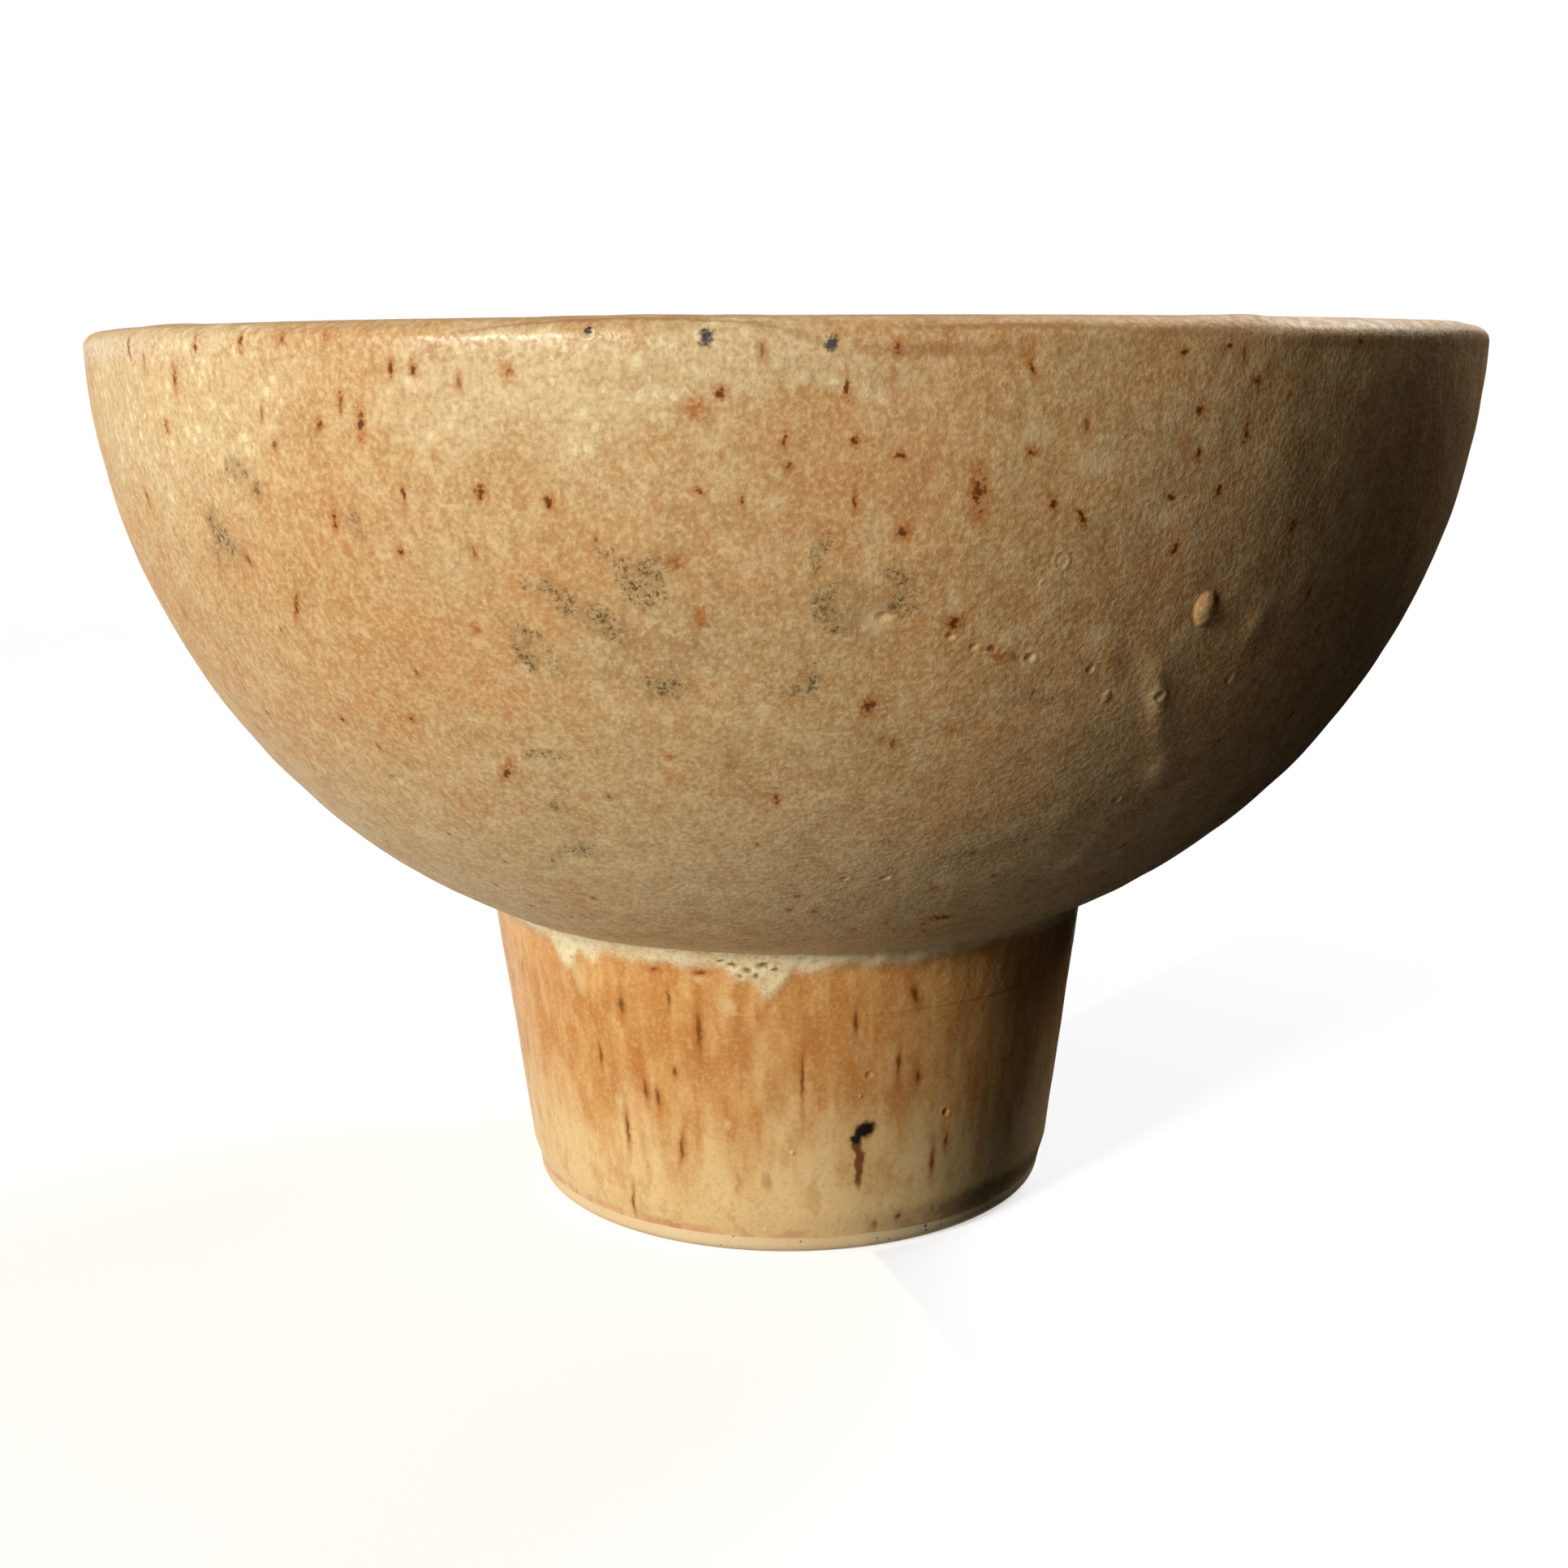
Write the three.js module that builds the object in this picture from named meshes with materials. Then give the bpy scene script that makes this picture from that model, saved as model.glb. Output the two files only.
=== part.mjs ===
// A footed stoneware cup: a thrown bowl, stuck with slip on a thrown hollow foot, under its glazes.
// Millimetres, +Z up. The origin is the centre of the ring that the cup stands on.

import * as THREE from "three";

// The bowl, in bare clay. Its outside is an oval whose two powers make it fuller than an ellipse.
const rimRadius = 64.5;
const bowlDepth = 57.9;
const shoulderPower = 2.316;
const bellyPower = 1.847;
const rimWall = 3.5;
const lipHeight = 0.95;
const floorThickness = 6.5;

// The foot, in bare clay. Its height is that of the crease where its outside meets the bowl.
const footHeight = 30.5;
const footTopRadius = 29.5;
const footBaseRadius = 26;
const footWall = 5;
const outerEdgeRound = 1.2;
const innerEdgeRound = 1;

// The slip between them, and the fillet that it leaves inside the foot.
const slipThickness = 0.8;
const slipFillet = 2.2;

// The glazes. The collar is the glaze that pooled in the crease, and the foot stays bare below its stop.
const bowlGlaze = 0.5;
const linerGlaze = 0.5;
const footGlaze = 0.4;
const collarReach = 1.3;
const collarDrop = 1.8;
const collarFill = 0.55;
const glazeStop = 1.8;

// Facets round the axis, and steps along each stretch of the outlines.
const turnFacets = 56;
const bellySteps = 10;
const innerWallSteps = 11;
const lipSteps = 3;
const domeSteps = 3;
const seatSteps = 2;
const edgeSteps = 3;
const filletSteps = 3;
const collarSteps = 4;

const quarterTurn = Math.PI / 2;
const axisTolerance = 1e-6;

const point = (radius, height) => new THREE.Vector2(radius, height);

// Joins lines end to end, where each starts on the last point of the one before.
const join = (first, ...others) => [...first, ...others.flatMap((line) => line.slice(1))];

const lowered = (line, drop) => line.map(({ x, y }) => point(x, y - drop));

// One side of the bowl's oval, below its widest ring.
function oval(radius, depth) {
  const angleAt = (across) => Math.acos((across / radius) ** (shoulderPower / 2));
  const at = (angle) =>
    point(
      radius * Math.cos(angle) ** (2 / shoulderPower),
      -depth * Math.sin(angle) ** (2 / bellyPower),
    );
  return {
    heightAt: (across) => at(angleAt(across)).y,
    // The stretch between two radii, raised by a height.
    stretch(from, to, steps, height) {
      const [start, end] = [angleAt(from), angleAt(to)];
      return Array.from({ length: steps + 1 }, (_, i) => {
        const { x, y } = at(THREE.MathUtils.lerp(start, end, i / steps));
        return point(x, height + y);
      });
    },
  };
}

function ellipseArc(centre, across, up, fromAngle, toAngle, steps) {
  const curve = new THREE.EllipseCurve(
    centre.x, centre.y, across, up, fromAngle, toAngle, toAngle < fromAngle,
  );
  return curve.getPoints(steps);
}

// A hollow curve in the corner between two points.
function fillet(from, corner, to, steps) {
  return new THREE.QuadraticBezierCurve(from, corner, to).getPoints(steps);
}

// A line moved out by a thickness, square to itself. The line ends on the axis.
function coated(line, thickness) {
  return line.map((here, i) => {
    const before = line[i - 1] ?? here;
    const after = line[i + 1] ?? point(-before.x, before.y);
    const along = after.clone().sub(before).normalize();
    return point(here.x + along.y * thickness, here.y - along.x * thickness);
  });
}

// The bowl's clay

const outside = oval(rimRadius, bowlDepth);
const widestHeight = footHeight - outside.heightAt(footTopRadius);
const footInnerTopRadius = footTopRadius - footWall;
const filletRadius = footInnerTopRadius - slipFillet;
const collarRadius = footTopRadius + collarReach;

const outsideLine = (from, to, steps) => outside.stretch(from, to, steps, widestHeight);
const dome = outsideLine(0, filletRadius, domeSteps);
const underFillet = outsideLine(filletRadius, footInnerTopRadius, 1);
const footSeat = outsideLine(footInnerTopRadius, footTopRadius, seatSteps);
const underCollar = outsideLine(footTopRadius, collarRadius, 1);
const belly = outsideLine(collarRadius, rimRadius, bellySteps);

const lipHalf = rimWall / 2;
const lipCentre = point(rimRadius - lipHalf, widestHeight);
const lipOutside = ellipseArc(lipCentre, lipHalf, lipHeight, 0, quarterTurn, lipSteps);
const lipInside = ellipseArc(lipCentre, lipHalf, lipHeight, quarterTurn, 2 * quarterTurn, lipSteps);

const innerRadius = rimRadius - rimWall;
const inside = oval(innerRadius, bowlDepth - floorThickness);
const innerWall = inside.stretch(innerRadius, 0, innerWallSteps, widestHeight);

const bowlProfile = join(
  dome, underFillet, footSeat, underCollar, belly, lipOutside, lipInside, innerWall,
);

// The foot's clay, whose top follows the bowl's underside

const footTop = lowered(footSeat, slipThickness).reverse();
const outerTop = footTop.at(0);
const innerTop = footTop.at(-1);
const outerBase = point(footBaseRadius, outerEdgeRound);
const innerBase = point(footBaseRadius - footWall, innerEdgeRound);

// The point of a straight wall at a height.
function onWall(base, top, height) {
  return base.clone().lerp(top, (height - base.y) / (top.y - base.y));
}

const glazeStopPoint = onWall(outerBase, outerTop, glazeStop);
const collarFootPoint = onWall(outerBase, outerTop, footHeight - collarDrop);
const filletFootPoint = onWall(innerBase, innerTop, innerTop.y - slipFillet);

const outerEdge = ellipseArc(
  point(outerBase.x - outerEdgeRound, outerEdgeRound),
  outerEdgeRound, outerEdgeRound, -quarterTurn, 0, edgeSteps,
);
const innerEdge = ellipseArc(
  point(innerBase.x + innerEdgeRound, innerEdgeRound),
  innerEdgeRound, innerEdgeRound, 2 * quarterTurn, 3 * quarterTurn, edgeSteps,
);
const footProfile = [
  ...outerEdge, glazeStopPoint, collarFootPoint, ...footTop, filletFootPoint, ...innerEdge,
];

// The slip, from the foot's top to the bowl's underside

const slipBead = fillet(underFillet[0], innerTop, filletFootPoint, filletSteps);
const slipProfile = [
  ...slipBead.slice(1), ...footTop.toReversed(), ...footSeat.toReversed(), underFillet[0],
];

// The glazes

const glazedLine = join(belly, lipOutside, lipInside, innerWall);
const crown = belly.length + lipOutside.length - 2;
const clayUnderGlaze = glazedLine.slice(0, crown + 1);
const clayUnderLiner = glazedLine.slice(crown);
const glazeFace = coated(glazedLine, bowlGlaze).slice(0, crown + 1);
const linerFace = coated(glazedLine, linerGlaze).slice(crown);

const bowlGlazeProfile = [...glazeFace, ...clayUnderGlaze.toReversed()];
const linerProfile = [...clayUnderLiner.toReversed(), ...linerFace];

const footGlazeTop = point(collarFootPoint.x + footGlaze, collarFootPoint.y);
const footGlazeBottom = point(glazeStopPoint.x + footGlaze, glazeStopPoint.y + footGlaze);
const footGlazeProfile = [glazeStopPoint, footGlazeBottom, footGlazeTop, collarFootPoint];

// The collar's hollow face runs from the foot's glaze to the bowl's, drawn part of the way into the crease.
const glazeFaceStart = glazeFace[0];
const faceMiddle = footGlazeTop.clone().lerp(glazeFaceStart, 0.5);
const creasePoint = point(footTopRadius + footGlaze, footHeight - bowlGlaze);
const collarFace = fillet(
  footGlazeTop, faceMiddle.lerp(creasePoint, collarFill), glazeFaceStart, collarSteps,
);
const collarProfile = [
  ...collarFace, ...underCollar.toReversed(), outerTop, collarFootPoint,
];

// The pieces

function material(colour, roughness) {
  return new THREE.MeshStandardMaterial({ color: colour, roughness, metalness: 0 });
}

// Turns a profile round the axis, closing it on itself unless it starts and ends on the axis.
function turned(name, profile, finish) {
  const meetsAxis = [profile[0], profile.at(-1)].every(({ x }) => x < axisTolerance);
  const outline = meetsAxis ? profile : [...profile, profile[0]];
  const geometry = new THREE.LatheGeometry(outline, turnFacets).rotateX(quarterTurn);
  const mesh = new THREE.Mesh(geometry, finish);
  mesh.name = name;
  return mesh;
}

const clayFinish = material("#a98a68", 0.9);
const slipFinish = material("#b39472", 0.95);
const bowlGlazeFinish = material("#b4966b", 0.55);
const linerFinish = material("#b79c74", 0.5);
const footGlazeFinish = material("#b07a3c", 0.35);
const collarFinish = material("#c9b083", 0.4);

const bowl = new THREE.Group();
bowl.add(
  turned("bowl_body", bowlProfile, clayFinish),
  turned("bowl_outer_glaze", bowlGlazeProfile, bowlGlazeFinish),
  turned("bowl_liner_glaze", linerProfile, linerFinish),
);

const foot = new THREE.Group();
foot.add(
  turned("foot_body", footProfile, clayFinish),
  turned("foot_glaze", footGlazeProfile, footGlazeFinish),
);

const joint = new THREE.Group();
joint.add(
  turned("joint_slip", slipProfile, slipFinish),
  turned("joint_glaze_collar", collarProfile, collarFinish),
);

const cup = new THREE.Group();
cup.add(bowl, foot, joint);

export default cup;
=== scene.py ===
import math

import bmesh
import bpy
from mathutils import Euler, Matrix, Vector, kdtree, noise


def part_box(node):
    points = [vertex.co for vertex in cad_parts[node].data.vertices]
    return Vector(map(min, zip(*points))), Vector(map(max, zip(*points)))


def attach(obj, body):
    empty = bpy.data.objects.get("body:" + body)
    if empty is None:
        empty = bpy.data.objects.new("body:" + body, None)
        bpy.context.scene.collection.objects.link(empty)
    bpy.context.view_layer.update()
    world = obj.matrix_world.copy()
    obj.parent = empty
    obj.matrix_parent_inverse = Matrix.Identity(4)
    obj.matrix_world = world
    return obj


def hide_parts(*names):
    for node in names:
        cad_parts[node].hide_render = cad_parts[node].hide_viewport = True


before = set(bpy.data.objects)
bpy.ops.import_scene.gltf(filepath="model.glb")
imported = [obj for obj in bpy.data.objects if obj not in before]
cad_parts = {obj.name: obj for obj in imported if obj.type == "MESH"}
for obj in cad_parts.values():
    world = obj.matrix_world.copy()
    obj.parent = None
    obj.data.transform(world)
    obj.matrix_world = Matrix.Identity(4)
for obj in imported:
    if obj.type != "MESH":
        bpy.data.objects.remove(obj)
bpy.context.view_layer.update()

mm = 0.001


# The camera: a close-up taken by hand, about 20 cm from the cup's axis and just under the level
# of the rim, looking a little down, with the picture's top leaning slightly to the left.
camera_distance = 201.5 * mm
camera_height = 81 * mm
camera_aside = -0.33 * mm
camera_tilt = math.radians(11.63)
camera_roll = math.radians(-0.29)
lens_length = 46.36
film_width = 36


def added(name, data):
    """Adds an object to the scene."""
    made = bpy.data.objects.new(name, data)
    bpy.context.scene.collection.objects.link(made)
    return made


camera = added("camera", bpy.data.cameras.new("camera"))
bpy.context.scene.camera = camera
bpy.context.scene.view_settings.view_transform = "Standard"
camera.data.lens = lens_length
camera.data.sensor_width = film_width
camera.data.clip_start = 5 * mm
camera.location = (camera_aside, -camera_distance, camera_height)
camera.rotation_mode = "ZYX"
camera.rotation_euler = (math.pi / 2 - camera_tilt, 0, camera_roll)


# The bowl's clay: a round stoneware bowl thrown on the wheel, with a rounded lip and a wall that
# thickens towards the floor. It is bare only under the floor, inside the foot.
clay_low, clay_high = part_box("bowl_body")
foot_top_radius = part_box("foot_body")[1].x
rim_radius = clay_high.x
lip_height = 0.95 * mm
rim_wall = 3.5 * mm
floor_thickness = 6.5 * mm
shoulder_power = 2.316
belly_power = 1.847
widest_height = clay_high.z - lip_height
bowl_depth = widest_height - clay_low.z
wobble_share = 0.0035
wobble_length = 48 * mm
sharp_angle = math.radians(50)
touching = mm / 1000
clay_turns = 160
wall_steps = 60
lip_steps = 6


def oval_angle(out, radius):
    """The angle along the bowl's oval at a distance from the axis."""
    return math.acos((out / radius) ** (shoulder_power / 2))


def oval_line(radius, depth, start, end, steps):
    """Points of the bowl's oval, as distance from the axis and height, between two distances."""
    first, last = oval_angle(start, radius), oval_angle(end, radius)
    line = []
    for step in range(steps + 1):
        angle = first + (last - first) * step / steps
        out = radius * max(math.cos(angle), 0) ** (2 / shoulder_power)
        down = depth * math.sin(angle) ** (2 / belly_power)
        line.append((out, widest_height - down))
    return line


def arc(centre, across, up, start, end, steps):
    """Points of an ellipse's arc between two angles in degrees."""
    angles = [math.radians(start + (end - start) * step / steps) for step in range(steps + 1)]
    return [(centre[0] + across * math.cos(a), centre[1] + up * math.sin(a)) for a in angles]


def straight(start, end, steps):
    """Points of a straight line between two points."""
    return [tuple(a + (b - a) * step / steps for a, b in zip(start, end)) for step in range(steps + 1)]


def joined(*lines):
    """Lines joined end to end, where each starts on the last point of the one before."""
    return list(lines[0]) + [spot for line in lines[1:] for spot in line[1:]]


def turned(outline, turns, free=()):
    """A closed mesh spun from an outline. The points numbered in free get 1 on the layer 'free'."""
    mesh = bmesh.new()
    layer = mesh.verts.layers.float.new("free")
    spots = [mesh.verts.new((out, 0, up)) for out, up in outline]
    for number in free:
        spots[number][layer] = 1
    meets_axis = outline[0][0] < touching and outline[-1][0] < touching
    pairs = list(zip(spots, spots[1:])) + ([] if meets_axis else [(spots[-1], spots[0])])
    edges = [mesh.edges.new(pair) for pair in pairs]
    doublings = 4
    sector = 2 * math.pi / 2 ** doublings
    bmesh.ops.spin(mesh, geom=spots + edges, axis=(0, 0, 1), angle=sector,
                   steps=turns // 2 ** doublings)
    for doubling in range(doublings):
        copied = bmesh.ops.duplicate(mesh, geom=mesh.verts[:] + mesh.edges[:] + mesh.faces[:])["geom"]
        bmesh.ops.rotate(mesh, verts=[part for part in copied if isinstance(part, bmesh.types.BMVert)],
                         matrix=Matrix.Rotation(sector * 2 ** doubling, 3, "Z"))
    bmesh.ops.remove_doubles(mesh, verts=mesh.verts, dist=touching)
    bmesh.ops.recalc_face_normals(mesh, faces=mesh.faces)
    return mesh


def wobble(mesh):
    """Leaves a turned mesh as slightly out of round as hands leave it. Every piece gets the same."""
    for vert in mesh.verts:
        share = wobble_share * noise.noise(vert.co / wobble_length)
        vert.co += Vector((vert.co.x, vert.co.y, 0)) * share


def placed(name, mesh, material):
    """Makes a mesh an object of the scene, in its material."""
    data = bpy.data.meshes.new(name)
    mesh.to_mesh(data)
    mesh.free()
    data.materials.append(material)
    return added(name, data)


def finished(name, mesh, material, stands_for):
    """Makes the mesh a piece that stands for a solid and rides on the cup's one body."""
    wobble(mesh)
    for face in mesh.faces:
        face.smooth = True
    for edge in mesh.edges:
        edge.smooth = edge.calc_face_angle(0) < sharp_angle
    piece = placed(name, mesh, material)
    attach(piece, "root")
    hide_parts(stands_for)


def wire(tree, made, inputs):
    """Gives a node its inputs: each is another node's output or a plain value."""
    for name, value in inputs.items():
        if isinstance(value, bpy.types.NodeSocket):
            tree.links.new(value, made.inputs[name])
        else:
            made.inputs[name].default_value = value


def node(tree, kind, inputs, **settings):
    """Adds a shader node with its inputs and settings."""
    made = tree.nodes.new("ShaderNode" + kind)
    for name, value in settings.items():
        setattr(made, name, value)
    wire(tree, made, inputs)
    return made


def colour(red, green, blue):
    """A colour written from 0 to 255, as on a paint chart, made linear."""
    shares = [part / 255 for part in (red, green, blue)]
    return (*[s / 12.92 if s <= 0.04045 else ((s + 0.055) / 1.055) ** 2.4 for s in shares], 1)


def over(tree, mask, below, above):
    """Lays one colour over another where the mask is white."""
    return node(tree, "Mix", {0: mask, 6: below, 7: above}, data_type="RGBA").outputs[2]


def step_up(tree, value, start, end, low=0.0, high=1.0):
    """A soft step from low to high as the value goes from start to end."""
    inputs = {"Value": value, "From Min": start, "From Max": end, "To Min": low, "To Max": high}
    return node(tree, "MapRange", inputs, interpolation_type="SMOOTHSTEP").outputs["Result"]


def maths(tree, operation, *values):
    """A sum on two values, or on more by turns."""
    result = values[0]
    for value in values[1:]:
        result = node(tree, "Math", {0: result, 1: value}, operation=operation).outputs[0]
    return result


def laid(tree, ground, tint, *shares):
    """Lays a colour over a ground by a share, or by several multiplied."""
    return over(tree, maths(tree, "MULTIPLY", *shares), ground, colour(*tint))


def layered(tree, ground, *coats):
    """Lays colours over a ground by turns. Each coat has a value, where on it the coat starts and is
    full, its share when full, and its colour."""
    for value, start, full, share, tint in coats:
        ground = laid(tree, ground, tint, step_up(tree, value, start, full, 0, share))
    return ground


def cloud(tree, place, length, detail=2.0, roughness=0.5, stretch=(1, 1, 1), shift=0.0):
    """Noise whose lumps are about that many millimetres long."""
    moved = node(tree, "Mapping", {"Vector": place, "Scale": stretch, "Location": (shift,) * 3})
    inputs = {"Vector": moved.outputs[0], "Scale": 1 / length, "Detail": detail, "Roughness": roughness}
    return node(tree, "TexNoise", inputs).outputs["Fac"]


def empty_material(name):
    """A material with no nodes yet."""
    material = bpy.data.materials.new(name)
    material.use_nodes = True
    material.node_tree.nodes.clear()
    return material, material.node_tree


def new_material(name):
    """A material with its shader, and the object's coordinates in millimetres."""
    material, tree = empty_material(name)
    shader = tree.nodes.new("ShaderNodeBsdfPrincipled")
    node(tree, "OutputMaterial", {0: shader.outputs[0]})
    metres = tree.nodes.new("ShaderNodeTexCoord").outputs["Object"]
    place = node(tree, "VectorMath", {0: metres, "Scale": 1 / mm}, operation="SCALE").outputs[0]
    return material, tree, shader, place


def part_of(tree, place, axis):
    """One of a place's three coordinates."""
    return node(tree, "SeparateXYZ", {"Vector": place}).outputs[axis]


def raised(tree, shader, height, distance):
    """Fine relief in a material, where a height of 1 stands that far out."""
    bump = node(tree, "Bump", {"Height": height, "Distance": distance, "Strength": 1})
    wire(tree, shader, {"Normal": bump.outputs[0]})


def bare_clay(name, light, dark):
    """Bare fired stoneware: dry, gritty and flecked with iron."""
    material, tree, shader, place = new_material(name)
    grit = cloud(tree, place, 0.45, 3, 0.7)
    ground = over(tree, step_up(tree, cloud(tree, place, 14, 4), 0.35, 0.65), light, dark)
    iron = cloud(tree, place, 0.9, 1, shift=40)
    ground = layered(
        tree, ground, (grit, 0.55, 0.75, 0.5, (226, 200, 160)), (iron, 0.72, 0.78, 1, (96, 62, 40)),
    )
    wire(tree, shader, {"Base Color": ground, "Roughness": 0.9})
    raised(tree, shader, grit, 0.03 * mm)
    return material


outside = oval_line(rim_radius, bowl_depth, 0, rim_radius, wall_steps)
lip_centre = (rim_radius - rim_wall / 2, widest_height)
lip_outside = arc(lip_centre, rim_wall / 2, lip_height, 0, 90, lip_steps)
lip_inside = arc(lip_centre, rim_wall / 2, lip_height, 90, 180, lip_steps)
inner_radius = rim_radius - rim_wall
inner_depth = bowl_depth - floor_thickness
inside = oval_line(inner_radius, inner_depth, inner_radius, 0, wall_steps)
bowl_mesh = turned(joined(outside, lip_outside, lip_inside, inside), clay_turns)
bowl_finish = bare_clay("bare bowl clay", colour(196, 156, 112), colour(170, 130, 92))
finished("bowl_clay", bowl_mesh, bowl_finish, "bowl_body")


# The foot's clay: a second thrown ring, hollow and tapered, cut to the bowl's curve at its top.
# Its underside is wiped clean of glaze and slightly rounded at both edges.
foot_base_radius = 26 * mm
foot_wall = 5 * mm
outer_edge_round = 1.2 * mm
inner_edge_round = 1 * mm
slip_thickness = 0.8 * mm
edge_steps = 6
seat_steps = 6
foot_steps = 24


def under_bowl(out, drop=0.0):
    """The point of the bowl's bare underside at a distance from the axis, or a drop below it."""
    down = bowl_depth * math.sin(oval_angle(out, rim_radius)) ** (2 / belly_power)
    return (out, widest_height - down - drop)


foot_inner_top = foot_top_radius - foot_wall
inner_base_radius = foot_base_radius - foot_wall
outer_edge = arc((foot_base_radius - outer_edge_round, outer_edge_round),
                 outer_edge_round, outer_edge_round, -90, 0, edge_steps)
foot_top = [
    under_bowl(foot_top_radius - foot_wall * step / seat_steps, slip_thickness)
    for step in range(seat_steps + 1)
]
outer_wall = straight(outer_edge[-1], foot_top[0], foot_steps)
inner_edge = arc((inner_base_radius + inner_edge_round, inner_edge_round),
                 inner_edge_round, inner_edge_round, 180, 270, edge_steps)
inner_wall = straight(foot_top[-1], inner_edge[0], foot_steps)
foot_mesh = turned(joined(outer_edge, outer_wall, foot_top, inner_wall, inner_edge), clay_turns)
foot_finish = bare_clay("bare foot clay", colour(255, 230, 186), colour(252, 220, 170))
finished("foot_clay", foot_mesh, foot_finish, "foot_body")


# The slip: liquid clay that sticks the foot to the bowl. It is a thin layer on the foot's top,
# with the uneven bead that was pressed out of it inside the foot.
slip_bead = 2.2 * mm
bead_unevenness = 0.35 * mm
bead_lump = 6 * mm
bead_steps = 8


def hollow_curve(start, corner, end, steps):
    """A smooth hollow curve between two points, drawn towards a corner."""
    line = []
    for step in range(steps + 1):
        t = step / steps
        weights = ((1 - t) ** 2, 2 * t * (1 - t), t ** 2)
        pairs = zip(start, corner, end)
        line.append(tuple(sum(w * p for w, p in zip(weights, parts)) for parts in pairs))
    return line


def on_line(start, end, height):
    """The point of a straight line at a height."""
    share = (height - start[1]) / (end[1] - start[1])
    return (start[0] + (end[0] - start[0]) * share, height)


bead_start = under_bowl(foot_inner_top - slip_bead)
bead_end = on_line(inner_edge[0], foot_top[-1], foot_top[-1][1] - slip_bead)
bead = hollow_curve(bead_start, foot_top[-1], bead_end, bead_steps)
foot_seat = [(out, up + slip_thickness) for out, up in foot_top]
slip_mesh = turned(bead + foot_top[::-1] + foot_seat, clay_turns, free=range(1, bead_steps))
free = slip_mesh.verts.layers.float["free"]
for vert in slip_mesh.verts:
    vert.co.z -= vert[free] * bead_unevenness * noise.noise(vert.co / bead_lump)
slip_finish = bare_clay("fired slip", colour(206, 170, 126), colour(186, 148, 106))
finished("joint_slip_bead", slip_mesh, slip_finish, "joint_slip")


# The bowl's outer glaze: satin stoneware glaze half a millimetre thick, dipped and fired, clouded
# peach and cream over tan and finely mottled, with iron that bled through it from the clay.
glaze_thickness = 0.5 * mm
collar_reach = 1.3 * mm
glaze_turns = 640
glaze_steps = 108
backing_spacing = 6
iron_stain = (192, 118, 50)
iron_core = (92, 48, 12)

# The larger iron marks. Each has its degrees round the bowl from the front, its height, its width
# and its length in millimetres, and its lean in degrees if it leans.
iron_marks = [
    (11.8, 72.7, 1.2, 3, 6), (15, 75.3, 0.6, 0.7), (16.7, 71.8, 0.5, 1.5, 20),
    (18.8, 70.7, 0.5, 1.5, 35), (6.8, 75.2, 0.7, 0.6), (7.2, 70, 0.9, 0.9), (11.1, 63.4, 1, 1.1),
    (-27.7, 77.3, 0.7, 1.9, -5), (-29.1, 78.9, 0.5, 1.4, -10), (-3.9, 79.4, 0.8, 0.8),
    (-16.9, 80.9, 0.7, 1.1), (14.7, 81.1, 0.5, 1.4, 25), (-37.7, 63.6, 0.5, 2.4, -30),
    (-23.2, 50.9, 0.7, 2.2, -35), (-1, 49.3, 0.4, 1.2), (5.7, 57.2, 0.8, 1.7, -15),
    (18.7, 35.8, 1.1, 1.9, 80), (36.5, 69.2, 0.8, 0.9), (-19.5, 72.7, 0.8, 1.2, 10),
    (-14.9, 72.1, 0.7, 1), (-5.5, 72.9, 0.7, 0.6), (-2.8, 72.3, 0.4, 0.9), (-52.6, 83, 0.5, 1.6, 20),
    (-42.8, 82.8, 0.5, 1), (-45.7, 80.5, 0.5, 1.6, -10), (-37.8, 83.2, 0.5, 1.2, 10),
    (-33.8, 83.3, 0.6, 0.8), (-30.1, 83.3, 0.5, 0.9), (-48, 76.9, 0.5, 1), (-31.1, 77.1, 0.6, 0.9),
    (-35.5, 75.7, 0.5, 0.9), (26.5, 78, 0.8, 0.9), (30.4, 76.3, 0.6, 1.4), (30.8, 80, 0.6, 0.8, 20),
    (28.3, 82.4, 0.6, 0.6), (25, 82, 0.6, 0.5), (26.8, 75, 0.4, 0.9), (28.9, 72.3, 0.5, 1.1),
    (26.3, 68.1, 0.5, 1.1), (40.8, 63.7, 0.4, 0.9), (40.6, 82.7, 0.6, 0.6), (25.2, 72, 0.8, 0.5),
    (6.5, 82.3, 0.5, 0.9), (3.5, 79.7, 0.4, 1.4), (4, 76.3, 0.45, 0.8), (4.1, 72.1, 0.35, 1.3),
    (-0.1, 76.3, 0.4, 1.4, -8), (0.1, 74.5, 0.5, 0.6), (-25, 81.1, 0.35, 1.1), (-23.4, 81.1, 0.5, 1.2),
    (-31.3, 70.4, 0.5, 1.4, -10), (-26.3, 68.2, 0.5, 0.6), (-25.2, 72.3, 0.35, 1.3),
    (-54.9, 70.9, 0.4, 1.2), (-38.5, 54.1, 0.4, 0.8), (-30.4, 54.9, 0.5, 0.7), (33.8, 79, 0.4, 0.5),
]
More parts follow.
